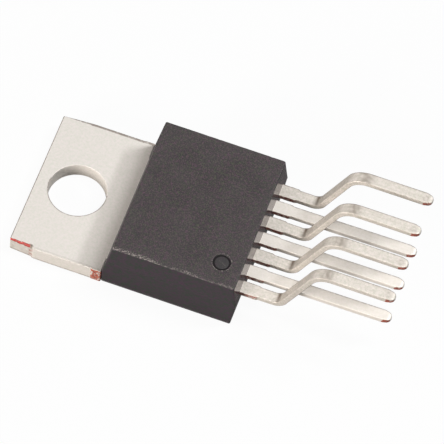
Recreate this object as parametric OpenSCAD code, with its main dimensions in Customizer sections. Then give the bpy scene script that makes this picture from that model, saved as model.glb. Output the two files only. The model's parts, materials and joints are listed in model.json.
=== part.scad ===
// Voltage regulator in a moulded package with seven leads and a screw down heat sink tab.
// It lies on its heat sink. The origin is the centre of the screw hole on the back face,
// +X runs towards the lead tips, +Y across the row of leads and +Z out of the front face.
// Lead 1 lies on the -Y side, beside the round mark. Lead 4 is one piece with the heat sink.

/* [Heat sink] */
// Width of the heat sink tab and of the moulded body at its parting line
package_width = 10.2; // [9.9:0.1:10.6]
// Thickness of the heat sink
tab_thickness = 1.2; // [1.1:0.05:1.4]
// Centre of the screw hole to the free end of the tab
tab_reach = 2.75; // [2.5:0.05:3.2]
// Diameter of the screw hole
hole_diameter = 3.76; // [3.5:0.02:4]
// Centre of the screw hole to the moulded body
hole_to_body = 3.45; // [3.2:0.05:4]
// Length of the free end that was sheared narrower than the rest
tip_cut_length = 1.43; // [1:0.01:1.6]
// Depth of the step where the shearing ends on the lead 1 side
tip_cut_step = 0.1; // [0.05:0.01:0.2]
// How much further the sheared sides lean in at the free end
tip_cut_lean = 0.1; // [0:0.01:0.2]
// Length of the sheared tie bar that is left beside the body
tie_bar_length = 0.68; // [0.4:0.02:1]
// How far the sheared tie bar stands out of the tab's side
tie_bar_proud = 0.03; // [0.02:0.01:0.15]

/* [Moulded body] */
// Length of the body at its parting line
body_length = 8.89; // [8.4:0.01:9.4]
// Height of the front face above the back face
body_height = 4.36; // [4.2:0.02:4.6]
// Draft of the wall that faces the tab, in degrees
tab_wall_draft = 10; // [5:0.5:12]
// Draft of the upper half of the wall that the leads leave, in degrees
lead_wall_draft = 9; // [5:0.5:12]
// Draft of the lower half of the wall that the leads leave, in degrees
lower_wall_draft = 5; // [2:0.5:8]
// Draft of the two long sides above the parting line, in degrees
side_draft = 1.5; // [0.5:0.5:5]
// Draft of the two long sides below the parting line, in degrees
lower_side_draft = 2; // [0.5:0.5:5]
// Size of the worn edge round the front face
body_edge = 0.07; // [0.02:0.01:0.15]
// Diameter of the round mark beside lead 1
mark_diameter = 1.16; // [0.8:0.02:1.6]
// Depth of the round mark
mark_depth = 0.07; // [0.03:0.01:0.15]
// Centre of the mark to the lead end of the body
mark_from_end = 1.62; // [1.2:0.02:2.4]
// Centre of the mark to the side of the body
mark_from_side = 1.65; // [1.2:0.02:2.4]

/* [Leads] */
// Distance between neighbouring leads
lead_pitch = 1.27; // [1.2:0.01:1.35]
// Width of a lead
lead_width = 0.76; // [0.64:0.01:0.8]
// Thickness of a lead
lead_thickness = 0.38; // [0.33:0.01:0.46]
// Back face to the lower side of the leads
lead_plane = 2.58; // [2.44:0.01:2.7]
// Body to the tips of the straight leads
straight_reach = 9.44; // [8.8:0.02:11]
// Body to the tips of the formed leads
formed_reach = 9.62; // [8.8:0.02:11]
// Width of the shoulder where the dam bar was sheared off
shoulder_width = 0.9; // [0.84:0.01:0.96]
// Body to the end of the shoulder
shoulder_reach = 1.15; // [0.9:0.05:1.5]
// Length of the slope from the shoulder to the lead
shoulder_slope = 0.16; // [0.08:0.02:0.3]
// Length of the tapered tip
tip_length = 0.5; // [0.3:0.05:0.8]
// Width of the blunt end of the tip
tip_width = 0.26; // [0.14:0.02:0.4]
// Length over which the tip thins
tip_coin_length = 0.2; // [0.1:0.02:0.3]
// How much each face of the tip drops
tip_coin_depth = 0.07; // [0.03:0.01:0.1]

/* [Forming of leads 1, 3, 5 and 7] */
// Body to the start of the first bend
form_start = 2.04; // [1.6:0.02:2.6]
// Angle of the slope between the two bends, in degrees
form_angle = 67; // [50:1:80]
// Height of the formed row above the straight row
row_offset = 4.82; // [3.9:0.01:5.1]
// Radius of the first bend at the middle of the lead
first_bend_radius = 0.82; // [0.5:0.02:1]
// Radius of the second bend at the middle of the lead
second_bend_radius = 1.4; // [0.6:0.05:1.6]

/* [Inside the body] */
// Width of the heat sink inside the body
pad_width = 8.6; // [7.6:0.1:9]
// Lead end of the body to the front edge of the heat sink
pad_setback = 1.9; // [1.8:0.05:2.1]
// Overhang of the ledge that locks the heat sink in the moulding
ledge_overhang = 0.25; // [0.1:0.05:0.4]
// Height of the underside of that ledge above the back face
ledge_height = 0.5; // [0.3:0.05:0.7]
// Depth of the groove across the heat sink that stops moisture
groove_depth = 0.2; // [0.1:0.02:0.3]
// Wall that faces the tab to the middle of the groove
groove_inset = 0.8; // [0.6:0.05:1]
// Width of the neck that joins lead 4 to the heat sink
neck_width = 1.1; // [0.96:0.02:1.2]
// Angle of the neck's slope, in degrees
neck_angle = 60; // [55:1:75]
// Radius of the neck's bends at the middle of the lead
neck_radius = 0.35; // [0.3:0.01:0.4]
// Width of the post at the inner end of a lead
post_width = 1.02; // [0.98:0.01:1.06]
// Length of the post at the inner end of a lead
post_length = 1.15; // [1:0.05:1.2]
// Lead end of the body to the post
post_setback = 0.9; // [0.85:0.01:1]
// Depth of the notches that lock a lead in the moulding
lock_notch_depth = 0.12; // [0.05:0.01:0.16]
// Length of the notches that lock a lead in the moulding
lock_notch_length = 0.3; // [0.2:0.02:0.34]
// Length of the silicon die
die_length = 4; // [3.4:0.1:4.4]
// Width of the silicon die
die_width = 4.8; // [4.4:0.1:5.6]
// Thickness of the silicon die
die_thickness = 0.3; // [0.2:0.02:0.4]
// Front edge of the heat sink to the die
die_setback = 1.3; // [1.2:0.05:1.6]
// Thickness of the solder under the die
solder_thickness = 0.05; // [0.03:0.01:0.1]
// How far the solder spreads past the die
solder_margin = 0.15; // [0.05:0.01:0.3]

/* [Bond wires] */
// Diameter of a bond wire
wire_diameter = 0.15; // [0.1:0.01:0.18]
// Rise of a wire's arc as a share of the straight distance
wire_rise = 0.3; // [0.2:0.01:0.34]
// Length of the flattened foot at each end of a wire
foot_length = 0.36; // [0.3:0.02:0.46]
// Width of the flattened foot
foot_width = 0.2; // [0.18:0.01:0.22]
// Height of the flattened foot
foot_height = 0.1; // [0.09:0.01:0.16]
// Edge of the die or of a post to the middle of the foot
foot_inset = 0.35; // [0.3:0.01:0.45]
// Outermost feet to the side of the die
die_pad_inset = 0.45; // [0.4:0.01:0.6]
// Half the distance between the two wires of a doubled pair
pair_shift = 0.22; // [0.2:0.01:0.26]

/* [Hidden] */

$fn = 48;
tin = "gainsboro";
mould = [0.3, 0.29, 0.29];
bend_steps = 12;
formed_leads = [1, 3, 5, 7];
straight_leads = [2, 6];
middle_lead = (formed_leads[0] + formed_leads[3]) / 2;
outer_leads = middle_lead - formed_leads[0];
beyond = 1;

body_end = hole_to_body + body_length;
pad_front = body_end - pad_setback;
die_front = pad_front - die_setback;
die_back = die_front - die_length;
solder_top = tab_thickness + solder_thickness;
die_top = solder_top + die_thickness;
lead_top = lead_plane + lead_thickness;
post_end = body_end - post_setback;
post_start = post_end - post_length;
straight_tip = body_end + straight_reach;
formed_tip = body_end + formed_reach;

function lead_y(n) = (n - middle_lead) * lead_pitch;
// Where lead n's wire lands on the die: the row of feet is as wide as the die allows
function die_pad_y(n) = (n - middle_lead) / outer_leads * (die_width / 2 - die_pad_inset);
// Outline of a strip that is the same on both sides of its middle line, from [x, half width]
function strip(sides) = concat(
    sides,
    [for (i = [len(sides) - 1:-1:0]) [sides[i][0], -sides[i][1]]]
);
// Points of an arc in the side view
function arc(centre, radius, from, to) = [
    for (i = [0:bend_steps])
        let (a = from + (to - from) * i / bend_steps)
        centre + radius * [cos(a), sin(a)]
];
// Outline in the side view of a strip that lies at height low, bends up at bend_x,
// climbs at an angle, bends level again rise higher and runs on to a coined tip
function jog(start_x, low, bend_x, radius_1, radius_2, angle, rise, tip_x) =
    let (
        half = lead_thickness / 2,
        middle = low + half,
        climb = (rise - (radius_1 + radius_2) * (1 - cos(angle))) / tan(angle),
        centre_1 = [bend_x, middle + radius_1],
        centre_2 = [
            bend_x + (radius_1 + radius_2) * sin(angle) + climb,
            middle + rise - radius_2
        ]
    )
    concat(
        [[start_x, low + lead_thickness]],
        arc(centre_1, radius_1 - half, -90, angle - 90),
        arc(centre_2, radius_2 + half, 90 + angle, 90),
        coined_tip(tip_x, low + rise),
        arc(centre_2, radius_2 - half, 90, 90 + angle),
        arc(centre_1, radius_1 + half, angle - 90, -90),
        [[start_x, low]]
    );
// The tip in the side view: both faces drop over the last stretch
function coined_tip(tip_x, low) = [
    [tip_x - tip_coin_length, low + lead_thickness],
    [tip_x, low + lead_thickness - tip_coin_depth],
    [tip_x, low + tip_coin_depth],
    [tip_x - tip_coin_length, low]
];
// Half widths of the part of a lead that can be seen, from the body to the tip
function outer_sides(tip_x) = [
    [body_end + shoulder_reach - shoulder_slope, shoulder_width / 2],
    [body_end + shoulder_reach, lead_width / 2],
    [tip_x - tip_length, lead_width / 2],
    [tip_x - tip_length * 0.4, lead_width / 2 - (lead_width - tip_width) * 0.16],
    [tip_x - tip_length * 0.12, lead_width / 2 - (lead_width - tip_width) * 0.34],
    [tip_x, tip_width / 2]
];
// Half widths of a lead's inner end: bond post, shank and lock notches
function inner_sides() =
    let (
        shank = shoulder_width / 2,
        notch_end = post_end + lock_notch_length + (shank - lead_width / 2),
        notch_start = notch_end - lock_notch_length
    )
    [
        [post_start, post_width / 2],
        [post_end, post_width / 2],
        [post_end, shank],
        [notch_start, shank],
        [notch_start, shank - lock_notch_depth],
        [notch_end, shank - lock_notch_depth],
        [notch_end, shank]
    ];

// Carries a side view outline across the part, over the given width
module across(width) {
    rotate([90, 0, 0]) linear_extrude(height = width, center = true) children();
}

// A lead is its side view carried across, cut to its outline seen from the front
module lead_strip(sides, side_view) {
    intersection() {
        linear_extrude(height = lead_top + row_offset + beyond) polygon(strip(sides));
        across(lead_pitch) polygon(side_view);
    }
}

module straight_lead(n) {
    side_view = concat(
        [[post_start, lead_plane], [post_start, lead_top]],
        coined_tip(straight_tip, lead_plane)
    );
    color(tin) translate([0, lead_y(n), 0])
        lead_strip(concat(inner_sides(), outer_sides(straight_tip)), side_view);
}

module formed_lead(n) {
    side_view = jog(
        post_start, lead_plane, body_end + form_start,
        first_bend_radius, second_bend_radius, form_angle, row_offset, formed_tip
    );
    color(tin) translate([0, lead_y(n), 0])
        lead_strip(concat(inner_sides(), outer_sides(formed_tip)), side_view);
}

// Lead 4 leaves the heat sink's front edge as a neck that climbs to the plane of the leads
module ground_lead() {
    root = pad_front - neck_radius * 2;
    neck_low = tab_thickness - lead_thickness;
    sides = concat(
        [[root, neck_width / 2], [post_end - neck_radius, neck_width / 2], [post_end, shoulder_width / 2]],
        outer_sides(straight_tip)
    );
    lead_strip(sides, jog(
        root, neck_low, pad_front, neck_radius, neck_radius,
        neck_angle, lead_plane - neck_low, straight_tip
    ));
}

// The tab seen from the front: sheared sides at the free end, tie bar stubs beside the body
module tab_outline() {
    half = package_width / 2;
    cut_end = tip_cut_length - tab_reach;
    stub = hole_to_body - tie_bar_length;
    polygon([
        [-tab_reach, tip_cut_step + tip_cut_lean - half],
        [cut_end, tip_cut_step - half],
        [cut_end + 2 * tip_cut_step, -half],
        [stub, -half],
        [stub, -half - tie_bar_proud],
        [hole_to_body, -half - tie_bar_proud],
        [hole_to_body, half + tie_bar_proud],
        [stub, half + tie_bar_proud],
        [stub, half],
        [cut_end + tip_cut_length / 2, half],
        [-tab_reach, half - tip_cut_step - tip_cut_lean / 2]
    ]);
}

// The heat sink inside the body: a ledge overhangs its edges and a groove crosses it
module pad() {
    half = pad_width / 2;
    root = hole_to_body - beyond;
    difference() {
        union() {
            translate([root, -half + ledge_overhang, 0])
                cube([pad_front - ledge_overhang - root, pad_width - 2 * ledge_overhang, tab_thickness]);
            translate([root, -half, ledge_height])
                cube([pad_front - root, pad_width, tab_thickness - ledge_height]);
        }
        translate([hole_to_body + groove_inset, 0, tab_thickness]) across(pad_width + beyond)
            polygon([[-groove_depth, 0], [groove_depth, 0], [0, -groove_depth]]);
    }
}

module heat_sink_and_ground_lead() {
    color(tin) difference() {
        union() {
            linear_extrude(height = tab_thickness) tab_outline();
            pad();
            ground_lead();
        }
        translate([0, 0, -beyond]) cylinder(h = tab_thickness + 2 * beyond, d = hole_diameter, $fn = 96);
    }
}

module silicon_die() {
    color("slategray") translate([die_back, -die_width / 2, solder_top])
        cube([die_length, die_width, die_thickness]);
}

module die_attach_solder() {
    spread = 2 * solder_margin;
    color("darkgray")
        translate([die_back - solder_margin, -die_width / 2 - solder_margin, tab_thickness])
        cube([die_length + spread, die_width + spread, solder_thickness]);
}

// A wire from one point on a flat face to another: two flattened feet and an arc between them
module bond_wire(from, to) {
    run = [to[0] - from[0], to[1] - from[1]];
    heading = atan2(run[1], run[0]);
    slope = atan2(to[2] - from[2], norm(run));
    chord = norm(to - from);
    rise = wire_rise * chord;
    radius = (chord * chord / 4 + rise * rise) / (2 * rise);
    half_angle = asin(chord / 2 / radius);
    color("silver") union() {
        for (end = [from, to]) translate(end) rotate([0, 0, heading])
            translate([-foot_length / 2, -foot_width / 2, 0])
            cube([foot_length, foot_width, foot_height]);
        translate((from + to) / 2 + [0, 0, foot_height]) rotate([0, -slope, heading])
            translate([0, 0, rise - radius]) rotate([90, 0, 0]) rotate([0, 0, 90 - half_angle])
            rotate_extrude(angle = 2 * half_angle) translate([radius, 0]) circle(d = wire_diameter);
    }
}

// A wire from the die to the post of lead n, moved aside where two share a post
module lead_wire(n, shift = 0) {
    bond_wire(
        [die_front - foot_inset, die_pad_y(n) + shift, die_top],
        [post_start + foot_inset, lead_y(n) + shift, lead_top]
    );
}

module ground_wire() {
    bond_wire(
        [die_front - foot_inset, die_pad_y(middle_lead), die_top],
        [die_front + 2 * foot_inset, 0, tab_thickness]
    );
}

// The moulding's outer form: its side view carried across, cut to its end view
module mould_form() {
    lift = body_height - lead_plane;
    half = package_width / 2;
    foot_half = half - lead_plane * tan(lower_side_draft);
    top_half = half - lift * tan(side_draft);
    top_back = hole_to_body + (body_height - tab_thickness) * tan(tab_wall_draft);
    top_front = body_end - lift * tan(lead_wall_draft);
    edge = body_edge;
    intersection() {
        across(package_width + beyond) polygon([
            [hole_to_body, 0],
            [hole_to_body, tab_thickness],
            [top_back, body_height - edge],
            [top_back + edge, body_height],
            [top_front - edge, body_height],
            [top_front, body_height - edge],
            [body_end, lead_plane],
            [body_end - lead_plane * tan(lower_wall_draft), 0]
        ]);
        rotate([90, 0, 90]) linear_extrude(height = body_end + beyond) polygon([
            [-foot_half, 0],
            [foot_half, 0],
            [half, lead_plane],
            [top_half, body_height - edge],
            [top_half - edge, body_height],
            [edge - top_half, body_height],
            [-top_half, body_height - edge],
            [-half, lead_plane]
        ]);
    }
}

module inner_pieces() {
    heat_sink_and_ground_lead();
    for (n = formed_leads) formed_lead(n);
    for (n = straight_leads) straight_lead(n);
    silicon_die();
    die_attach_solder();
    for (n = [1, 2, 3, 6]) lead_wire(n);
    for (n = [5, 7]) for (side = [-1, 1]) lead_wire(n, side * pair_shift);
    ground_wire();
}

module mould_body() {
    color(mould) difference() {
        mould_form();
        inner_pieces();
        translate([body_end - mark_from_end, mark_from_side - package_width / 2, body_height - mark_depth])
            cylinder(h = mark_depth + beyond, d = mark_diameter);
    }
}

heat_sink_and_ground_lead();
formed_lead(1);  // lead_1
straight_lead(2);  // lead_2
formed_lead(3);  // lead_3
formed_lead(5);  // lead_5
straight_lead(6);  // lead_6
formed_lead(7);  // lead_7
silicon_die();
die_attach_solder();
lead_wire(1);  // bond_wire_1
lead_wire(2);  // bond_wire_2
lead_wire(3);  // bond_wire_3
ground_wire();  // bond_wire_ground
lead_wire(5, -pair_shift);  // bond_wire_5_inner
lead_wire(5, pair_shift);  // bond_wire_5_outer
lead_wire(6);  // bond_wire_6
lead_wire(7, -pair_shift);  // bond_wire_7_inner
lead_wire(7, pair_shift);  // bond_wire_7_outer
mould_body();
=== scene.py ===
import json
import math

import bpy
import numpy as np
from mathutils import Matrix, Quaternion, Vector


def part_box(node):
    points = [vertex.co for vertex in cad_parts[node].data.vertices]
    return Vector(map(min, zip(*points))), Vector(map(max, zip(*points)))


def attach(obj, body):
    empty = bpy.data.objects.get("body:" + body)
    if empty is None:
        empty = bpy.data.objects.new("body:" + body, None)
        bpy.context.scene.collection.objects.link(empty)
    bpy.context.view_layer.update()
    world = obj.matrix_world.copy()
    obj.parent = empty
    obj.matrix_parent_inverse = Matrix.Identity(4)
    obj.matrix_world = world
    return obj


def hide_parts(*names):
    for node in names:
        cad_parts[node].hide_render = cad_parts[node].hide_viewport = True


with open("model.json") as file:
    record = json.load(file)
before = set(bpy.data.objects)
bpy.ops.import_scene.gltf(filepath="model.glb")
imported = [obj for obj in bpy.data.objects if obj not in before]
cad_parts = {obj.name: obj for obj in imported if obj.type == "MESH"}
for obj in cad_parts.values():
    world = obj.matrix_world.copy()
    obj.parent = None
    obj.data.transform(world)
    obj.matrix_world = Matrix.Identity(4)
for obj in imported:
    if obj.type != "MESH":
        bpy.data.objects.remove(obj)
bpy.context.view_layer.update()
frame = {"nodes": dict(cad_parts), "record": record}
mm = 0.001


# Camera
# A long lens looks down on the front face from above the lead 1 side, as in the photograph.
# Its place, aim and roll come from a fit of the part's known corners to the picture.

camera_place = Vector((42.24, -147.28, 252.6)) * mm
camera_aim = Vector((9.52, 0.42, 2.5)) * mm
camera_roll = math.radians(7.88)
camera_lens = 374.8

camera = bpy.data.objects.new("camera", bpy.data.cameras.new("camera"))
camera.data.lens = camera_lens
camera.data.sensor_width = 36
camera.location = camera_place
view_turn = (camera_aim - camera_place).to_track_quat("-Z", "Y")
camera.rotation_mode = "QUATERNION"
camera.rotation_quaternion = view_turn @ Quaternion((0, 0, 1), camera_roll)
bpy.context.scene.collection.objects.link(camera)
bpy.context.scene.camera = camera
bpy.context.scene.view_settings.view_transform = "Standard"


# Studio
# Two lamps behind the leads and a low, warm one in front. The table lies just under the part. The
# camera sees table and surround white. To other rays the table is grey and the surround dim,
# except in reflections, where the surround is white and the table darker.

def shader(name):
    """An empty material with nodes: returns it, its node tree and its output node."""
    material = bpy.data.materials.new(name)
    material.use_nodes = True
    tree = material.node_tree
    tree.nodes.clear()
    return material, tree, tree.nodes.new("ShaderNodeOutputMaterial")


def node(tree, kind, inputs=None, **settings):
    """Adds a node. inputs maps a socket's name or number to a value, or to a socket to link."""
    made = tree.nodes.new(kind)
    for key, value in settings.items():
        setattr(made, key, value)
    for key, value in (inputs or {}).items():
        if isinstance(value, bpy.types.NodeSocket):
            tree.links.new(value, made.inputs[key])
        else:
            made.inputs[key].default_value = value
    return made


def blend(tree, share, under, over):
    """A colour that goes from under to over as share goes from 0 to 1."""
    mix = node(tree, "ShaderNodeMix", {"Factor": share, "A": under, "B": over}, data_type="RGBA")
    return mix.outputs["Result"]


def span(tree, value, low, high, start=0.0, end=1.0):
    """A value moved from the range low to high to the range start to end, and held within it."""
    return node(tree, "ShaderNodeMapRange", {
        "Value": value, "From Min": low, "From Max": high, "To Min": start, "To Max": end}).outputs[0]


def maths(tree, operation, first, second):
    """The result of a sum on two values."""
    return node(tree, "ShaderNodeMath", {0: first, 1: second}, operation=operation).outputs[0]


def mark(tree, name):
    """The value that the piece's mesh holds under this name."""
    return node(tree, "ShaderNodeAttribute", attribute_name=name).outputs["Fac"]


lamp_aim = Vector((8, 0, 2)) * mm
lamp_distance = 280 * mm
cool = (0.955, 0.985, 1)
warm = (1, 0.965, 0.92)


def studio_lamp(name, azimuth, elevation, width, height, watts, colour):
    """An oblong lamp that faces the body from a fixed distance, with its place in degrees."""
    lamp = bpy.data.lights.new(name, "AREA")
    lamp.shape = "RECTANGLE"
    lamp.size = width
    lamp.size_y = height
    lamp.energy = watts
    lamp.color = colour
    turn = math.radians(azimuth)
    climb = math.radians(elevation)
    outward = math.cos(climb)
    away = Vector((math.cos(turn) * outward, math.sin(turn) * outward, math.sin(climb)))
    holder = bpy.data.objects.new(name, lamp)
    holder.location = lamp_aim + lamp_distance * away
    holder.rotation_euler = (-away).to_track_quat("-Z", "Y").to_euler()
    bpy.context.scene.collection.objects.link(holder)


studio_lamp("low_lamp_behind_leads", 28, 52, 0.06, 0.03, 0.268, cool)
studio_lamp("strip_lamp_behind_leads", 25, 68, 0.04, 0.08, 0.296, cool)
studio_lamp("lamp_in_front", -122, 16, 0.12, 0.13, 0.82, warm)


def background_share(tree, camera, glossy, transmission):
    """How much of the plain white background each kind of ray sees: the sum of three weights."""
    path = node(tree, "ShaderNodeLightPath")
    total = 0.0
    for kind, weight in (("Camera", camera), ("Glossy", glossy), ("Transmission", transmission)):
        total = node(tree, "ShaderNodeMath", {
            0: path.outputs[f"Is {kind} Ray"], 1: weight, 2: total}, operation="MULTIPLY_ADD").outputs[0]
    return total


dim_level = 0.015
world = bpy.data.worlds.new("surround")
bpy.context.scene.world = world
world.use_nodes = True
tree = world.node_tree
tree.nodes.clear()
level = maths(tree, "MAXIMUM", dim_level, background_share(tree, 1.0, 1.0, 1.0))
surround = node(tree, "ShaderNodeBackground", {"Color": (1, 1, 1, 1), "Strength": level})
tree.links.new(surround.outputs[0], node(tree, "ShaderNodeOutputWorld").inputs["Surface"])

table_reach = 1.5
table_gap = 0.02 * mm
table_grey = 0.27
table_mesh = bpy.data.meshes.new("table")
table_mesh.from_pydata(
    [(x * table_reach, y * table_reach, -table_gap) for x, y in ((-1, -1), (1, -1), (1, 1), (-1, 1))],
    [], [(0, 1, 2, 3)])
table = bpy.data.objects.new("table", table_mesh)
bpy.context.scene.collection.objects.link(table)
material, tree, output = shader("table_paint")
table_mesh.materials.append(material)
tint = maths(tree, "ADD", table_grey, background_share(tree, 0.59, -0.11, 0.0))
paint = node(tree, "ShaderNodeBsdfDiffuse", {"Color": tint})
glow = node(tree, "ShaderNodeEmission", {"Color": (1, 1, 1, 1), "Strength": 1.0})
mixed = node(tree, "ShaderNodeMixShader", {
    0: background_share(tree, 0.95, 0.06, 0.95), 1: paint.outputs[0], 2: glow.outputs[0]})
tree.links.new(mixed.outputs[0], output.inputs["Surface"])


# Leads
# Stamped copper strips, tinned before the dam bar between them was sheared out. They are
# swept along their bent middle line. Leads 1, 3, 5 and 7 are formed up into a second row. The
# straight leads get a paler copy of the tin: painted light where the formed row above shades them.

body_low, body_high = (np.array(corner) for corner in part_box("mould_body"))
strip_low, strip_high = (np.array(corner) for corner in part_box("lead_2"))
body_end = body_high[0]
strip_thick = strip_high[2] - strip_low[2]
strip_middle = (strip_high[2] + strip_low[2]) / 2
strip_edge = 0.05 * mm
lead_width = 0.76 * mm
shoulder_width = 0.9 * mm
shoulder_reach = 1.15 * mm
shoulder_slope = 0.16 * mm
tip_length = 0.5 * mm
tip_width = 0.26 * mm
tip_coin_length = 0.2 * mm
tip_coin_depth = 0.07 * mm
form_start = 2.04 * mm
form_angle = math.radians(67)
row_offset = 4.82 * mm
first_bend = 0.82 * mm
second_bend = 1.4 * mm
bends = first_bend + second_bend
bend_x = body_end + form_start
slope_length = (row_offset - bends * (1 - math.cos(form_angle))) / math.tan(form_angle)
crest_x = bend_x + bends * math.sin(form_angle) + slope_length
post_half = 0.51 * mm
post_length = 1.15 * mm
post_step = 0.01 * mm
straight_lift = 0.14 * mm
row_settling = {1: 0, 3: -0.05 * mm, 5: 0, 7: -0.19 * mm}


def smooth_noise(points, size, seed):
    """Sum of twelve seeded sine waves of about the given wavelength at an array of points, scaled to
    stay mostly between -1 and 1."""
    rng = np.random.default_rng(seed)
    waves = rng.normal(size=(12, 3))
    waves *= 2 * math.pi / size / np.linalg.norm(waves, axis=1)[:, None]
    phases = rng.uniform(0, 2 * math.pi, 12)
    return np.sin(points @ waves.T + phases).sum(-1) / 4.5


def mesh_piece(name, points, faces, attributes=None):
    """A mesh object at the origin from points and faces, smooth, with float values on its points."""
    mesh = bpy.data.meshes.new(name)
    mesh.from_pydata(points.tolist(), [], faces)
    mesh.polygons.foreach_set("use_smooth", np.ones(len(mesh.polygons), bool))
    for key, values in (attributes or {}).items():
        layer = mesh.attributes.new(key, "FLOAT", "POINT")
        layer.data.foreach_set("value", np.asarray(values, np.float32).ravel())
    mesh.update()
    piece = bpy.data.objects.new(name, mesh)
    bpy.context.scene.collection.objects.link(piece)
    return piece


def tube_faces(rows, around):
    """Quads that join rows of a tube, each of around points and closed on itself, with fans at both
    ends. The fans' middle points are the two after the last row."""
    row, place = np.meshgrid(np.arange(rows - 1), np.arange(around), indexing="ij")
    after = (place + 1) % around
    quads = np.stack([row * around + place, row * around + after,
                      (row + 1) * around + after, (row + 1) * around + place], -1).reshape(-1, 4)
    here = np.arange(around)
    onward = (here + 1) % around
    last = (rows - 1) * around
    middle = rows * around
    start = np.stack([onward, here, np.full(around, middle)], -1)
    end = np.stack([last + here, last + onward, np.full(around, middle + 1)], -1)
    return quads.tolist() + start.tolist() + end.tolist()


def strip_section():
    """Outline of a strip's section as four arrays: how much of the half width and half thickness
    each point takes, and the direction in which it is set out by the edge radius."""
    turn = np.linspace(0, math.pi / 2, 6)
    across = np.linspace(1, -1, 9)[1:-1]
    up = np.linspace(-1, 1, 5)[1:-1]
    corners = []
    for quarter, (side, face) in enumerate(((1, 1), (-1, 1), (-1, -1), (1, -1))):
        angle = turn + quarter * math.pi / 2
        corners.append(np.stack([np.full(6, side), np.full(6, face), np.cos(angle), np.sin(angle)], -1))
    top = np.stack([across, np.ones(7), np.zeros(7), np.ones(7)], -1)
    near = np.stack([-np.ones(3), -up, -np.ones(3), np.zeros(3)], -1)
    bottom = np.stack([-across, -np.ones(7), np.zeros(7), -np.ones(7)], -1)
    far = np.stack([np.ones(3), up, np.ones(3), np.zeros(3)], -1)
    return np.concatenate([corners[0], top, corners[1], near, corners[2], bottom, corners[3], far]).T


def jog_path(start, low, foot_x, radius_1, radius_2, angle, rise, tip):
    """Middle line of a strip in the side view, as x, z and slope: level at height low, an arc up,
    a straight climb, an arc back to level rise higher, and level on to the tip."""
    steps = 18
    climb = (rise - (radius_1 + radius_2) * (1 - math.cos(angle))) / math.tan(angle)
    top_x = foot_x + (radius_1 + radius_2) * math.sin(angle) + climb
    turn = np.linspace(0, angle, steps)
    first = np.stack([foot_x + radius_1 * np.sin(turn), low + radius_1 * (1 - np.cos(turn)), turn], -1)
    back = turn[::-1]
    below_crest = radius_2 * (1 - np.cos(back))
    second = np.stack([top_x - radius_2 * np.sin(back), low + rise - below_crest, back], -1)
    share = np.linspace(0, 1, 16)[1:-1, None]
    slope = first[-1] * (1 - share) + second[0] * share
    return np.concatenate([level_path(start, foot_x, low)[:-1], first, slope, second,
                           level_path(top_x, tip, low + rise)[1:]])


def level_path(start, end, height):
    """Level stretch of a strip's middle line, with a point every 0.06 mm."""
    x = np.linspace(start, end, max(2, int(round((end - start) / (0.06 * mm)))))
    return np.stack([x, np.full_like(x, height), np.zeros_like(x)], -1)


def lifted(path, tip, lift):
    """The path bent up a little outside the body: the rise grows evenly to lift at the tip."""
    share = np.clip((path[:, 0] - body_end) / (tip - body_end), 0, 1)
    return path + np.stack([0 * share, lift * share, np.where(share > 0, lift / (tip - body_end), 0)], -1)


def outer_widths(tip):
    """Half width of a lead at places along x, from the body to its tip."""
    half = lead_width / 2
    blunt = lead_width - tip_width
    return [
        (body_end + shoulder_reach - shoulder_slope, shoulder_width / 2),
        (body_end + shoulder_reach, half),
        (tip - tip_length, half),
        (tip - tip_length * 0.4, half - blunt * 0.16),
        (tip - tip_length * 0.12, half - blunt * 0.34),
        (tip, tip_width / 2),
    ]


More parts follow.
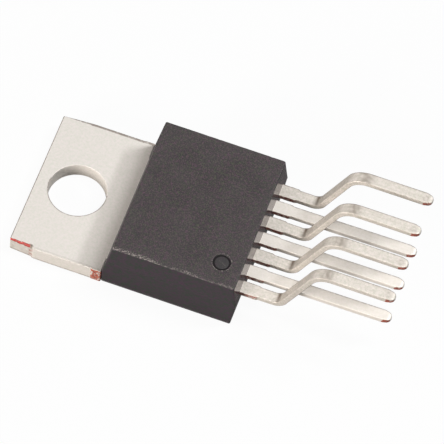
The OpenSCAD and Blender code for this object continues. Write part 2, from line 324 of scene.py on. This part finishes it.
def swept_strip(path, widths, tip, middle_y, seed):
    """Points of a strip swept along its path: middle line plus half width across and half thickness
    along the path's normal, both less the edge radius, plus the rounded edge. Sheared sides are rough.
    Also values on the points that mark bare copper, burnt shear, dark edges that are painted shade,
    painted shade in the first bend, a darker band just before the crest, and a ring that the forming
    tool left near the tip. The mark fresh, for copper that was cut last, is nought here and set on the
    heat sink alone."""
    take_y, take_n, edge_y, edge_n = strip_section()
    x, z, slope = path.T
    half = np.interp(x, *zip(*widths))
    coin = np.clip((x - tip + tip_coin_length) / tip_coin_length, 0, 1) * tip_coin_depth
    thick = strip_thick / 2 - coin
    nose = np.clip((x - tip + strip_edge) / strip_edge, 0, 1)
    pinch = strip_edge * (1 - np.sqrt(1 - nose ** 2 * 0.98))
    y = take_y[None] * (half - strip_edge - pinch)[:, None] + strip_edge * edge_y[None]
    n = take_n[None] * (thick - strip_edge - pinch)[:, None] + strip_edge * edge_n[None]
    at = np.stack([
        x[:, None] - np.sin(slope)[:, None] * n,
        y + middle_y,
        z[:, None] + np.cos(slope)[:, None] * n,
    ], -1)
    along = x[:, None]
    side = np.clip(np.abs(edge_y) * 1.5 - 0.5, 0, 1)[None]
    root = np.clip((body_end + shoulder_reach + 0.02 * mm - along) / (0.1 * mm), 0, 1)
    rough = smooth_noise(at, 0.16 * mm, seed) * 0.01 * mm + smooth_noise(at, 0.4 * mm, seed + 1) * 0.01 * mm
    at[..., 1] += np.sign(take_y)[None] * (rough - 0.008 * mm) * side * root * (along > body_end)
    high = np.clip(n / strip_thick + 0.5, 0, 1)
    cut = np.clip((along - tip + 1.25 * tip_length) / (0.1 * mm), 0, 1)
    facing = np.arctan2(edge_n, edge_y)
    # Painted shade, partly a shear burr: dark lines on the far top and near bottom rounded edges
    far_top = np.exp(-((facing - math.pi / 4) / 0.9) ** 2) * (take_y + take_n == 2)
    near_bottom = np.exp(-((facing + 3 * math.pi / 4) / 0.7) ** 2) * (take_y + take_n == -2)
    blotch = 1 + 0.5 * smooth_noise(at, 0.3 * mm, seed + 2)
    # Painted shade in the concave first bend, stronger on the far side; a darker band just before the
    # crest; and the ring round the tip's coining dimple
    first_bend_shade = (1.15 + 0.4 * take_y) * np.exp(-((along - bend_x - 0.46 * mm) / (0.15 * mm)) ** 2)
    crest_band = 0.65 * blotch * np.exp(-((along - crest_x + 0.3 * mm) / (0.4 * mm)) ** 2)
    formed = np.ptp(z) > 2 * strip_thick
    from_dimple = np.hypot(along - tip + 0.5 * mm, at[..., 1] - middle_y + 0.04 * mm)
    tip_stain = 0.32 * blotch ** 2 * np.exp(-((from_dimple - 0.15 * mm) / (0.06 * mm)) ** 2)
    marks = {
        "sheared": side * root * (0.6 + 0.6 * high),
        "tip_cut": side * cut * (1.3 - 0.6 * high) * np.clip((tip - along) / (0.06 * mm), 0, 1),
        "stained_and_shaded": (first_bend_shade + crest_band + tip_stain) * (edge_n > 0.5)[None] * formed,
        "rim": (far_top + near_bottom)[None] * np.ones_like(y),
        "fresh": np.zeros_like(y),
    }
    ends = np.stack([at[0].mean(0), at[-1].mean(0)])
    points = np.concatenate([at.reshape(-1, 3), ends])
    marks = {key: np.append((value * np.ones_like(y)).ravel(), [0, 0]) for key, value in marks.items()}
    return points, tube_faces(len(x), y.shape[1]), marks


def grain_group():
    """Node group: fine grain of a plated or moulded skin, as noise at two scales.
    Height is for bump and Tone, from 0 to 1, for slow changes of colour."""
    group = bpy.data.node_groups.new("skin_grain", "ShaderNodeTree")
    face = group.interface
    for name, value in (("Grain Scale", 9000.0), ("Tone Scale", 900.0)):
        face.new_socket(name, in_out="INPUT", socket_type="NodeSocketFloat").default_value = value
    for name in ("Height", "Tone"):
        face.new_socket(name, in_out="OUTPUT", socket_type="NodeSocketFloat")
    source = group.nodes.new("NodeGroupInput")
    place = node(group, "ShaderNodeTexCoord").outputs["Object"]
    fine = node(group, "ShaderNodeTexNoise", {
        "Vector": place, "Scale": source.outputs["Grain Scale"], "Detail": 3.0, "Roughness": 0.6})
    slow = node(group, "ShaderNodeTexNoise", {
        "Vector": place, "Scale": source.outputs["Tone Scale"], "Detail": 4.0, "Roughness": 0.65})
    sink = group.nodes.new("NodeGroupOutput")
    group.links.new(fine.outputs["Fac"], sink.inputs["Height"])
    group.links.new(slow.outputs["Fac"], sink.inputs["Tone"])
    return group


skin_grain = grain_group()


def tin_material(name, light, dark, metallic, roughness, streaks):
    """Matt tin plate: mottled, streaked along the strip, darker along its edges, where shade is painted,
    darker again in stains and in painted shade, and bare copper where it was sheared. The piece's own
    marks tell where."""
    material, tree, output = shader(name)
    grain_scales = {"Grain Scale": 20000.0, "Tone Scale": 6000.0}
    grain = node(tree, "ShaderNodeGroup", grain_scales, node_tree=skin_grain)
    place = node(tree, "ShaderNodeTexCoord").outputs["Object"]
    drawn = node(
        tree, "ShaderNodeVectorMath", {0: place, 1: (0.1, 1.0, 0.1)}, operation="MULTIPLY").outputs[0]

    def noise(vector, scale, detail):
        """Noise from 0 to 1, with scale in waves to a metre."""
        settings = {"Vector": vector, "Scale": scale, "Detail": detail}
        return node(tree, "ShaderNodeTexNoise", settings).outputs["Fac"]

    ragged = noise(place, 5500.0, 4.0)
    streak = noise(drawn, 7000.0, 2.0)

    def ragged_mark(key, low, high, end=1.0):
        """A mark with a torn border: its value times noise, moved from low and high to 0 and end."""
        return span(tree, maths(tree, "MULTIPLY", ragged, mark(tree, key)), low, high, 0.0, end)

    spots = span(tree, noise(place, 11000.0, 2.0), 0.4, 0.6)
    fresh = blend(tree, mark(tree, "fresh"), (0.62, 0.19, 0.13, 1), (0.66, 0.085, 0.075, 1))
    aged = blend(tree, mark(tree, "fresh"), (0.29, 0.095, 0.075, 1), (0.34, 0.09, 0.08, 1))
    colour = blend(tree, span(tree, grain.outputs["Tone"], 0.35, 0.65), light, dark)
    colour = blend(tree, span(tree, streak, 0.4, 0.7, 0.0, streaks), colour, (0.5, 0.44, 0.38, 1))
    # Darker in real stains and dirt, and in painted shade where the marks carry it
    colour = blend(tree, span(tree, mark(tree, "stained_and_shaded"), 0.0, 1.3), colour, (0.24, 0.19, 0.15, 1))
    # Painted shade: dark lines along the rounded edges
    colour = blend(tree, ragged_mark("rim", 0.08, 0.42, 0.8), colour, (0.2, 0.15, 0.125, 1))
    burnt = ragged_mark("sheared", 0.3, 0.5)
    colour = blend(tree, burnt, colour, blend(tree, spots, (0.24, 0.075, 0.07, 1), (0.62, 0.31, 0.26, 1)))
    bare = ragged_mark("tip_cut", 0.3, 0.42)
    colour = blend(tree, bare, colour, blend(tree, spots, aged, fresh))
    copper = maths(tree, "MAXIMUM", burnt, bare)
    rough = node(tree, "ShaderNodeMix", {
        "Factor": copper,
        "A": span(tree, grain.outputs["Tone"], 0.3, 0.7, roughness - 0.05, roughness + 0.07),
        "B": 0.6}, data_type="FLOAT").outputs["Result"]
    bump = node(tree, "ShaderNodeBump", {
        "Height": grain.outputs["Height"], "Strength": 0.35, "Distance": 0.004 * mm})
    skin = node(tree, "ShaderNodeBsdfPrincipled", {
        "Base Color": colour, "Metallic": metallic, "Roughness": rough, "Normal": bump.outputs[0],
        "Specular Tint": (1, 0.88, 0.79, 1)})
    tree.links.new(skin.outputs[0], output.inputs["Surface"])
    return material


tin_on_formed_leads = tin_material(
    "tin_on_formed_leads", (0.91, 0.82, 0.765, 1), (0.68, 0.645, 0.555, 1), 0.18, 0.42, 0.25)
# Painted light: the straight leads' tin is a paler copy, for where the formed row above shades them
tin_on_straight_leads = tin_material(
    "tin_on_straight_leads", (1.0, 0.925, 0.865, 1), (0.925, 0.865, 0.78, 1), 0.18, 0.42, 0.08)

for number in (1, 2, 3, 5, 6, 7):
    cad_name = f"lead_{number}"
    low, high = (np.array(corner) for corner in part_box(cad_name))
    middle_y = (low[1] + high[1]) / 2
    if number in row_settling:
        path = jog_path(low[0], strip_middle, bend_x, first_bend, second_bend,
                        form_angle, row_offset + row_settling[number], high[0])
    else:
        path = lifted(level_path(low[0], high[0], strip_middle), high[0], straight_lift)
    post_end = low[0] + post_length
    inner = [
        (low[0], post_half), (post_end - post_step, post_half), (post_end + post_step, shoulder_width / 2)]
    points, faces, marks = swept_strip(path, inner + outer_widths(high[0]), high[0], middle_y, number)
    piece = mesh_piece(f"tinned_lead_{number}", points, faces, marks)
    piece.data.materials.append(tin_on_formed_leads if number in row_settling else tin_on_straight_leads)
    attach(piece, "root")
    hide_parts(cad_name)


# Heat sink and ground lead
# A thick copper plate, tinned, with the screw hole punched through it. Its free end was
# sheared narrower and its tie bars cut beside the body. Lead 4 climbs out of its front edge.

plate_thick = 1.2 * mm
hole_radius = 1.88 * mm
tab_half = 5.1 * mm
tab_reach = 2.75 * mm
cut_length = 1.43 * mm
cut_step = 0.1 * mm
cut_lean = 0.1 * mm
stub_length = 0.68 * mm
stub_proud = 0.03 * mm
pad_half = 4.05 * mm
pad_front = body_end - 1.9 * mm
neck_half = 0.55 * mm
neck_bend = 0.35 * mm
neck_angle = math.radians(60)
neck_start = pad_front - 0.7 * mm
neck_sunk = 0.02 * mm
plate_edge = 0.07 * mm


def outline_points(corners, spacing, rounding, inset):
    """Points about spacing apart along a closed outline, anticlockwise, that lies inset inside the
    given corners. A quadratic curve rounds each corner. Outlines of other insets have the same
    number of points."""
    corners = np.array(corners)
    edges = np.roll(corners, -1, 0) - corners
    lengths = np.linalg.norm(edges, axis=1)
    inward = np.stack([-edges[:, 1], edges[:, 0]], -1) / lengths[:, None]
    before = np.roll(inward, 1, 0)
    mitre = (before + inward) / (1 + (before * inward).sum(1))[:, None]
    moved = corners + inset * mitre
    onward = np.roll(moved, -1, 0) - moved
    reach = np.linalg.norm(onward, axis=1)
    onward /= reach[:, None]
    backward = -np.roll(onward, 1, 0)
    cut = np.minimum(rounding - inset, 0.4 * np.minimum(reach, np.roll(reach, 1)))[:, None]
    enter = moved + backward * cut
    leave = moved + onward * cut
    bend = np.linspace(0, 1, 6)[:, None]
    runs = []
    for index, length in enumerate(lengths):
        toward = 2 * bend * (1 - bend) * moved[index]
        runs.append((1 - bend) ** 2 * enter[index] + toward + bend ** 2 * leave[index])
        share = np.linspace(0, 1, max(2, int(length / spacing)) + 1)[1:-1, None]
        runs.append(leave[index] * (1 - share) + enter[(index + 1) % len(moved)] * share)
    return np.concatenate(runs)


def pierced_plate(corners, radius, thick, edge):
    """A plate as a closed ring of rows between a round hole at the origin and an outline round it:
    the hole's wall, the front face, the outer wall and the back face, with each edge rounded."""
    def outline(inset):
        """The plate's outer line, set in by inset."""
        return outline_points(corners, 0.1 * mm, edge + 0.03 * mm, inset)

    line = outline(0.0)
    ray = line / np.linalg.norm(line, axis=1)[:, None]
    turn = np.linspace(0, math.pi / 2, 6)
    hole_edge = edge * 0.6
    rows = [(ray * radius, height) for height in np.linspace(hole_edge, thick - hole_edge, 5)]
    for angle in turn[1:]:
        lip = radius + hole_edge * (1 - math.cos(angle))
        rows.append((ray * lip, thick - hole_edge * (1 - math.sin(angle))))
    shares = (1 - np.cos(np.linspace(0, math.pi, 30)[1:-1])) / 2
    hole_rim = ray * (radius + hole_edge)
    outer_rim = outline(edge)
    for share in shares:
        rows.append((hole_rim * (1 - share) + outer_rim * share, thick))
    for angle in turn:
        rows.append((outline(edge * (1 - math.sin(angle))), thick - edge * (1 - math.cos(angle))))
    for height in np.linspace(thick - edge, edge, 6)[1:-1]:
        rows.append((line, height))
    for angle in turn[::-1]:
        rows.append((outline(edge * (1 - math.sin(angle))), edge * (1 - math.cos(angle))))
    for share in shares[::-3]:
        rows.append((hole_rim * (1 - share) + outer_rim * share, 0.0))
    for angle in turn[:0:-1]:
        lip = radius + hole_edge * (1 - math.cos(angle))
        rows.append((ray * lip, hole_edge * (1 - math.sin(angle))))
    at = np.stack([np.column_stack([flat, np.full(len(flat), height)]) for flat, height in rows])
    count, around = at.shape[:2]
    row, place = np.meshgrid(np.arange(count), np.arange(around), indexing="ij")
    below = (row + 1) % count
    after = (place + 1) % around
    faces = np.stack([row * around + place, below * around + place,
                      below * around + after, row * around + after], -1).reshape(-1, 4)
    return at, faces.tolist()


cut_end = cut_length - tab_reach
stub = body_low[0] - stub_length
proud = tab_half + stub_proud
plate_corners = [
    (-tab_reach, cut_step + cut_lean - tab_half),
    (cut_end, cut_step - tab_half), (cut_end + 2 * cut_step, -tab_half),
    (stub, -tab_half), (stub + stub_proud, -proud), (body_low[0], -proud),
    (body_low[0], -pad_half), (pad_front, -pad_half), (pad_front, pad_half), (body_low[0], pad_half),
    (body_low[0], proud), (stub + stub_proud, proud), (stub, tab_half),
    (cut_end + cut_length / 2, tab_half), (-tab_reach, tab_half - cut_step - cut_lean / 2),
]
plate, plate_faces = pierced_plate(plate_corners, hole_radius, plate_thick, plate_edge)
x, y, z = np.moveaxis(plate, -1, 0)
at_side = np.abs(y) > tab_half - 0.06 * mm - np.clip(cut_end + 2 * cut_step - x, 0, cut_step) - cut_lean
near_side = at_side & (y < 0)
near_cut = near_side & (x < cut_end + 0.1 * mm)
from_top = z - plate_thick
from_step = x - cut_end - 0.02 * mm
from_lip = np.hypot(x, y) - hole_radius - 0.03 * mm
low_part = z < 0.8 * plate_thick
cut_line = 1.5 * near_cut * np.exp(-((from_top + 0.09 * mm) / (0.105 * mm)) ** 6)
cut_line *= np.clip((cut_end + 0.02 * mm - x) / (0.1 * mm), 0, 1)
cut_stain = near_cut * (0.26 + 0.16 * smooth_noise(plate, 0.3 * mm, 21))
stub_face = at_side * np.clip((x - stub + 0.08 * mm) / (0.08 * mm), 0, 1) * (z < plate_thick - 0.02 * mm)
step_dirt = np.exp(-(from_step / (0.22 * mm)) ** 4) * near_side * low_part
notch_dirt = np.exp(-(from_step / (0.13 * mm)) ** 2) * near_side * (z > 0.8 * plate_thick)
# Painted shade that dims the highlight on the near top edge
shaded_near_edge = near_side * (z > plate_thick - plate_edge)
far_edge = (y > tab_half - 0.17 * mm) | (x < 0.06 * mm - tab_reach)
# Painted shade: dark lines along the far and end top edges, on the hole's near lip, which turns away from
# the lamps, and along the foot of the near side
far_rim = far_edge * np.exp(-((from_top + 0.02 * mm) / (0.045 * mm)) ** 2)
lip_rim = (y < 0.3 * mm) * (z > 0.9 * plate_thick) * np.exp(-(from_lip / (0.045 * mm)) ** 2)
foot_rim = near_side * np.exp(-((z - 0.03 * mm) / (0.06 * mm)) ** 2)
plate_marks = {
    "sheared": 0.73 * step_dirt,
    "tip_cut": np.maximum(cut_line, 0.88 * stub_face),
    "stained_and_shaded": np.maximum.reduce([cut_stain, 1.3 * notch_dirt, 0.22 * shaded_near_edge]),
    "rim": np.maximum.reduce([far_rim, 0.75 * lip_rim, 0.85 * foot_rim]),
    "fresh": near_cut * 1.0,
}

neck_low = plate_thick - strip_thick / 2 - neck_sunk
neck_path = jog_path(neck_start, neck_low, pad_front, neck_bend, neck_bend,
                     neck_angle, strip_middle - neck_low, strip_high[0])
neck_widths = [
    (neck_start, neck_half), (body_end - 1.25 * mm, neck_half), (body_end - 0.9 * mm, shoulder_width / 2)]
points, faces, marks = swept_strip(
    lifted(neck_path, strip_high[0], straight_lift), neck_widths + outer_widths(strip_high[0]),
    strip_high[0], 0, 4)
marks["stained_and_shaded"] *= 0
first = plate.shape[0] * plate.shape[1]
piece = mesh_piece(
    "tinned_heat_sink", np.concatenate([plate.reshape(-1, 3), points]),
    plate_faces + [[corner + first for corner in face] for face in faces],
    {key: np.append(plate_marks[key].ravel(), marks[key]) for key in marks})
tin_on_heat_sink = tin_material(
    "tin_on_heat_sink", (0.885, 0.812, 0.775, 1), (0.78, 0.753, 0.68, 1), 0.12, 0.5, 0.0)
piece.data.materials.append(tin_on_heat_sink)
piece.data.materials.append(tin_on_straight_leads)
piece.data.polygons.foreach_set("material_index", np.repeat([0, 1], [len(plate_faces), len(faces)]))
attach(piece, "root")
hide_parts("heat_sink_and_ground_lead")


# Moulded body
# Black epoxy with glass filler, transfer moulded round the leads and the heat sink in one shot.
# The front face is spark eroded matt, the walls are smoother, and the edges are rubbed pale.

parting_height = strip_low[2]
tab_draft = math.tan(math.radians(10))
lead_draft = math.tan(math.radians(9))
lower_draft = math.tan(math.radians(5))
side_draft = math.tan(math.radians(1.5))
lower_side_draft = math.tan(math.radians(2))
body_edge = 0.07 * mm
corner_radius = 0.09 * mm
foot_edge = 0.03 * mm
foot_lift = 0.3 * mm
mark_radius = 0.58 * mm
disc_depth = 0.055
disc_shade = 0.75
mark_place = np.array([body_end - 1.62 * mm, 1.65 * mm - body_high[1]])


def body_rim(height, inset, around):
    """Outline of the body at a height, set in by inset: a rectangle with rounded corners whose
    four sides follow the moulding's drafts. around holds the shares and directions of each point."""
    take_x, take_y, turn_x, turn_y = around
    above = max(0.0, height - parting_height)
    below = max(0.0, parting_height - height)
    low_x = body_low[0] + max(0.0, height - plate_thick) * tab_draft + inset
    high_x = body_end - above * lead_draft - below * lower_draft - inset
    half_y = body_high[1] - above * side_draft - below * lower_side_draft - inset
    half_x = (high_x - low_x) / 2
    flat = np.stack([take_x * (half_x - corner_radius) + corner_radius * turn_x + (high_x + low_x) / 2,
                     take_y * (half_y - corner_radius) + corner_radius * turn_y], -1)
    return np.column_stack([flat, np.full(len(flat), height)])


def rim_shares(per_side):
    """Shares of the half length and half width that each point of a rounded rectangle takes, and
    the direction of its corner radius, anticlockwise from the near end of the lead side."""
    along = np.linspace(-1, 1, per_side)[1:-1]
    one = np.ones_like(along)
    none = np.zeros_like(along)
    turn = np.linspace(0, math.pi / 2, 6)
    parts = []
    for quarter, side in enumerate(((one, along, one, none), (-along, one, none, one),
                                    (-one, -along, -one, none), (along, -one, none, -one))):
        sign_x, sign_y = ((1, 1), (-1, 1), (-1, -1), (1, -1))[quarter]
        angle = turn + quarter * math.pi / 2
        parts.append(np.stack(side))
        parts.append(np.stack([np.full(6, sign_x), np.full(6, sign_y), np.cos(angle), np.sin(angle)]))
    return np.concatenate(parts, 1)


around = rim_shares(90)
rows = []
kinds = []


def add_row(points, edge=0.0, front=0.0, recess_shade=0.0):
    """Keeps one closed row of the body, with how worn it is, how much it faces front and how much painted
    shade darkens it.
    """
    rows.append(points)
    kinds.append((edge, front, recess_shade))


top = body_high[2]
turn = np.linspace(0, math.pi / 2, 7)
foot = body_rim(0.0, foot_edge, around)
pad_middle = np.array([(body_low[0] + pad_front) / 2, 0.0])
pad_size = np.array([(pad_front - body_low[0]) / 2 - 0.001 * mm, pad_half])
from_pad = foot[:, :2] - pad_middle
pad_line = pad_middle + from_pad / np.max(np.abs(from_pad) / pad_size, axis=1)[:, None]
for height in (plate_thick * 0.9, 0.0):
    add_row(np.column_stack([pad_line, np.full(len(pad_line), height)]))
for share in (0.3, 0.6, 0.9):
    flat = pad_line * (1 - share) + foot[:, :2] * share
    add_row(np.column_stack([flat, np.zeros(len(flat))]))
for angle in turn[::2]:
    add_row(body_rim(foot_edge * (1 - math.sin(angle)), foot_edge * (1 - math.cos(angle)), around))
for height in np.linspace(foot_edge, parting_height, 14)[1:-1]:
    add_row(body_rim(height, 0.0, around))
for offset, inset in ((-0.03, 0.0), (-0.01, -0.004), (0.01, -0.004), (0.03, 0.0)):
    add_row(body_rim(parting_height + offset * mm, inset * mm, around))
for height in np.linspace(parting_height, top - body_edge, 16)[1:]:
    add_row(body_rim(height, 0.0, around))
for angle in turn[1:]:
    edge_wear = math.sin(2 * angle) ** 0.5 if angle < math.pi / 2 - 0.01 else 0.3
    add_row(body_rim(top - body_edge * (1 - math.sin(angle)), body_edge * (1 - math.cos(angle)), around),
            edge=edge_wear, front=math.sin(angle))
front_rim = rows[-1][:, :2]
ray = front_rim - mark_place
ray /= np.linalg.norm(ray, axis=1)[:, None]
mark_rim = mark_place + ray * (mark_radius + 0.02 * mm)
for share in (1 - np.cos(np.linspace(0, math.pi, 42)[1:])) / 2:
    flat = front_rim * (1 - share) + mark_rim * share
    add_row(np.column_stack([flat, np.full(len(flat), top)]), front=1.0)

# Rows of the round mark: how far inside its rim and how deep, in millimetres, and how much painted shade
# darkens them
ring_rows = [(0.0, 0.02, 0.7), (0.02, disc_depth, 1.0), (0.05, 0.07, 1.0), (0.1, 0.07, 0.9),
             (0.13, 0.065, 0.78), (0.17, 0.058, disc_shade)]
disc_rows = [(inward, disc_depth, disc_shade) for inward in (0.22, 0.28, 0.35, 0.42, 0.49, 0.55)]
for inward, depth, recess_shade in ring_rows + disc_rows:
    flat = mark_place + ray * (mark_radius - inward * mm)
    add_row(np.column_stack([flat, np.full(len(flat), top - depth * mm)]), front=1.0, recess_shade=recess_shade)

# The foot that would cross the heat sink's back is lifted into the heat sink, out of its plane
at = np.stack(rows)
count = at.shape[1]
across_tab = (at[..., 0] < body_low[0] + 0.05 * mm) & (np.abs(at[..., 1]) < pad_half - 0.12 * mm)
at[..., 2] += foot_lift * across_tab * np.clip(1 - at[..., 2] / mm, 0, 1)
kinds = np.repeat(np.array(kinds)[:, None, :], count, 1)
is_edge = kinds[..., 0] * (at[..., 2] > top - body_edge - 0.01 * mm)
chips = np.clip(smooth_noise(at, 0.35 * mm, 31) - 0.4, 0, 1) * 0.03 * mm * is_edge
at[..., 2] -= chips
ends = np.array([[*pad_middle, plate_thick * 0.9], [*mark_place, top - disc_depth * mm]])
points = np.concatenate([at.reshape(-1, 3), ends])
faces = [face[::-1] for face in tube_faces(len(at), count)]
x, y, z = np.moveaxis(at, -1, 0)
lead_wall = (around[2] > 0.5) * (z > 0.03 * mm) * (z < top - body_edge)
front = kinds[..., 1]
low_rim = front_rim.min(0)
high_rim = front_rim.max(0)
from_near = y - low_rim[1]
from_rim = np.minimum.reduce([from_near, high_rim[1] - y, x - low_rim[0], high_rim[0] - x])
patches = 0.3 + 0.5 * smooth_noise(at, 2 * mm, 35)
most_worn = np.exp(-((x - 5.5 * mm) / (3.2 * mm)) ** 2)
near_wear = 0.34 + 0.36 * most_worn + 0.2 * smooth_noise(at, 1.5 * mm, 33)
worn = np.maximum(is_edge * (0.6 + (0.1 + 0.26 * most_worn) * (from_near < 0.1 * mm)),
                  front * near_wear * 1.25 * np.exp(-(np.maximum(from_near, 0) / (0.22 * mm)) ** 2))
from_mark = np.hypot(x - mark_place[0], y - mark_place[1]) - mark_radius
across_scratch = 0.36 * (x - mark_place[0]) + 0.93 * (y - mark_place[1])
scratch = np.exp(-(across_scratch / (0.05 * mm)) ** 2)
scratch *= (kinds[..., 2] == disc_shade) * (from_mark < -0.22 * mm)
# Painted highlight on the lip just outside the round mark
mark_lip_highlight = 0.85 * front * (kinds[..., 2] == 0) * np.exp(-((from_mark - 0.05 * mm) / (0.045 * mm)) ** 2)
rubbed = front * (np.exp(-np.maximum(from_rim, 0) / (0.9 * mm)) + patches)
marks = {
    "edge": np.append(np.maximum.reduce([worn, mark_lip_highlight, 1.2 * scratch]).ravel(), [0, 1.2]),
    "rubbed": np.append(rubbed.ravel(), [0, 0]),
    "front": np.append(front.ravel(), [0, 1]),
    "recess_shade": np.append(kinds[..., 2].ravel(), [0, disc_shade]),
}
piece = mesh_piece("moulded_body", points, faces, marks)


def mould_material(name, gloss, bending, sheen_tint, wall_rough, grain_depth, wall_tones):
    """Black filled epoxy: speckled and matt on the front, smoother on the walls, which have the two
    wall_tones, with painted shade in the round mark, a painted highlight on its lip, and rubbed pale
    along the front edges. gloss and bending are the strength of its reflections and its refractive index."""
    material, tree, output = shader(name)
    grain_scales = {"Grain Scale": 15000.0, "Tone Scale": 5000.0}
    grain = node(tree, "ShaderNodeGroup", grain_scales, node_tree=skin_grain)
    place = node(tree, "ShaderNodeTexCoord").outputs["Object"]
    filler = node(tree, "ShaderNodeTexNoise", {
        "Vector": place, "Scale": 13000.0, "Detail": 1.0, "Roughness": 0.6}).outputs["Fac"]
    front = mark(tree, "front")
    tone = span(tree, grain.outputs["Tone"], 0.35, 0.65)
    pale = blend(tree, tone, (0.085, 0.034, 0.063, 1), (0.042, 0.053, 0.024, 1))
    matt = blend(tree, span(tree, grain.outputs["Height"], 0.44, 0.62), (0.003, 0.001, 0.002, 1), pale)
    matt = blend(tree, span(tree, mark(tree, "rubbed"), 0.0, 1.0, 0.0, 0.08), matt, (0.16, 0.14, 0.14, 1))
    smooth = blend(tree, tone, *wall_tones)
    colour = blend(tree, front, smooth, matt)
    specks = span(tree, filler, 0.36, 0.64)
    # Pale wear along the edges and the scratch in the mark, with a painted highlight on the mark's lip
    wear = span(tree, maths(tree, "MULTIPLY", mark(tree, "edge"), specks), 0.42, 0.8, 0.0, 0.75)
    colour = blend(tree, wear, colour, (0.36, 0.31, 0.29, 1))
    # Painted shade in the recess of the round mark
    painted_recess_shade = span(tree, mark(tree, "recess_shade"), 0.0, 1.0, 0.0, 0.92)
    colour = blend(tree, painted_recess_shade, colour, (0.003, 0.002, 0.003, 1))
    rough = span(tree, front, 0.0, 1.0, wall_rough, 0.62)
    depth = span(tree, front, 0.0, 1.0, grain_depth, 0.55)
    raised = maths(tree, "MULTIPLY", grain.outputs["Height"], depth)
    bump = node(tree, "ShaderNodeBump", {"Height": raised, "Strength": 1.0, "Distance": 0.03 * mm})
    skin = node(tree, "ShaderNodeBsdfPrincipled", {
        "Base Color": colour, "Roughness": rough, "Normal": bump.outputs[0],
        "Specular IOR Level": gloss, "IOR": bending, "Specular Tint": sheen_tint})
    tree.links.new(skin.outputs[0], output.inputs["Surface"])
    return material


# The wall behind the leads is taken to be smoother than the other walls, and its tones are painted
# paler: painted light that brightens the gaps between the leads' reflections on it
plain = (1, 1, 1, 1)
dark_tones = ((0.062, 0.034, 0.056, 1), (0.029, 0.043, 0.03, 1))
painted_lit_tones = ((0.118, 0.078, 0.1, 1), (0.07, 0.072, 0.06, 1))
for skin in (
        mould_material("mould_compound", 0.5, 1.5, plain, 0.5, 0.2, dark_tones),
        mould_material("mould_in_ring", 0.15, 1.5, plain, 0.5, 0.12, dark_tones),
        mould_material("mould_behind_leads", 0.5, 1.6, (1, 0.83, 0.74, 1), 0.13, 0.025, painted_lit_tones)):
    piece.data.materials.append(skin)
in_ring = kinds[:-1, :, 2] > 0.8
behind_leads = lead_wall[:-1] * lead_wall[1:]
kind_of_face = np.maximum(in_ring * 1, behind_leads * 2).ravel()
kind_of_face = np.append(kind_of_face, np.zeros(2 * count)).astype(np.int32)
piece.data.polygons.foreach_set("material_index", kind_of_face)
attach(piece, "root")
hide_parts("mould_body")


# Die, solder and bond wires
# They are sealed in the moulding and can't be seen. The silicon die is soldered to the heat
# sink, and drawn aluminium wires join it to the leads.

def sealed_material(name, light, dark, scale, metallic, roughness):
    """Skin of a sealed piece: two tones of one colour mixed by grain, with a fine bump."""
    material, tree, output = shader(name)
    grain_scales = {"Grain Scale": scale, "Tone Scale": scale / 5}
    grain = node(tree, "ShaderNodeGroup", grain_scales, node_tree=skin_grain)
    colour = blend(tree, grain.outputs["Tone"], light, dark)
    bump = node(tree, "ShaderNodeBump", {
        "Height": grain.outputs["Height"], "Strength": 0.3, "Distance": 0.003 * mm})
    skin = node(tree, "ShaderNodeBsdfPrincipled", {
        "Base Color": colour, "Metallic": metallic, "Roughness": roughness,
        "Normal": bump.outputs[0]})
    tree.links.new(skin.outputs[0], output.inputs["Surface"])
    return material


sealed = {
    "silicon": sealed_material("silicon", (0.1, 0.11, 0.14, 1), (0.16, 0.16, 0.2, 1), 12000.0, 0.5, 0.15),
    "solder": sealed_material("solder", (0.42, 0.42, 0.43, 1), (0.33, 0.33, 0.34, 1), 9000.0, 1.0, 0.5),
    "bond_wire": sealed_material("bond_wire", (0.8, 0.8, 0.82, 1), (0.7, 0.7, 0.72, 1), 16000.0, 1.0, 0.25),
}
for part in frame["record"]["subparts"]:
    skin = sealed.get(part["material_slot"])
    if skin:
        mesh = frame["nodes"][part["node"]].data
        mesh.materials.clear()
        mesh.materials.append(skin)
